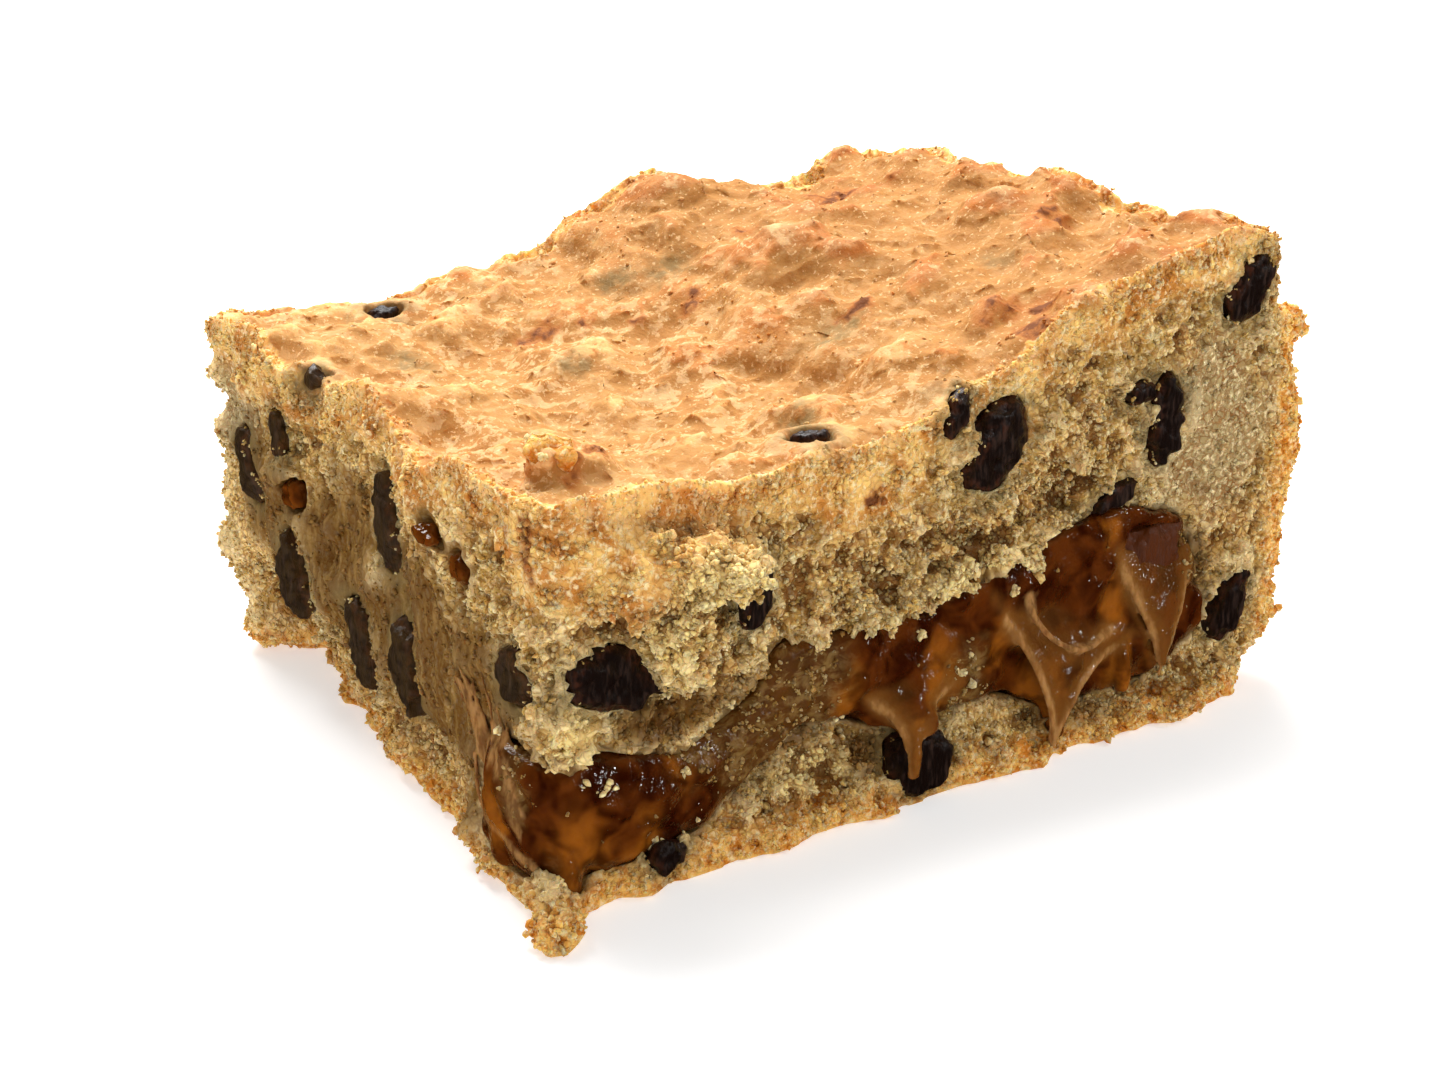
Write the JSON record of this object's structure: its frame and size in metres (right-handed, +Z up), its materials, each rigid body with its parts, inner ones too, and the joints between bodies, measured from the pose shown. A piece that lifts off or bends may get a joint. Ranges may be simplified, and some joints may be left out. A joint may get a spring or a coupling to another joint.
{
  "type": "caramel chocolate chip bar",
  "caption": "Thick square-cut cookie bar with a rippled golden top, one browned pan side, crumbly cut sides, an oozing caramel layer and embedded chocolate chips.",
  "frame": {"origin": "middle of the bar's bounding box, on the flat base that it rests on", "axes": "+X along the long cut face towards the browned pan side, +Y away from that face, +Z up"},
  "size_m": [0.0922, 0.0742, 0.0478],
  "materials": {
    "cookie_dough": "matte",
    "caramel": "gloss",
    "chocolate": "satin"
  },
  "bodies": {
    "root": {"cookie_dough": "cookie_dough", "caramel": "caramel", "caramel_pocket_far": "caramel", "caramel_pocket_upper": "caramel", "caramel_pocket_lower": "caramel", "chip_under_lump": "chocolate", "chip_by_lump": "chocolate", "chip_upper_middle": "chocolate", "chip_shell": "chocolate", "chip_upright": "chocolate", "chip_upright_arm": "chocolate", "chip_top_corner": "chocolate", "chip_slit": "chocolate", "chip_in_caramel": "chocolate", "chip_low_right": "chocolate", "chip_under_drip": "chocolate", "chip_base_small": "chocolate", "chip_left_far": "chocolate", "chip_left_thin": "chocolate", "chip_left_tall": "chocolate", "chip_left_middle": "chocolate", "chip_left_low_far": "chocolate", "chip_left_low": "chocolate", "chip_left_corner": "chocolate", "chip_left_rim": "chocolate", "chip_top_hole": "chocolate", "chip_top_back": "chocolate", "chip_back_1": "chocolate", "chip_back_2": "chocolate", "chip_back_3": "chocolate", "chip_back_4": "chocolate", "chip_back_5": "chocolate", "chip_back_6": "chocolate"}
  },
  "joints": []
}
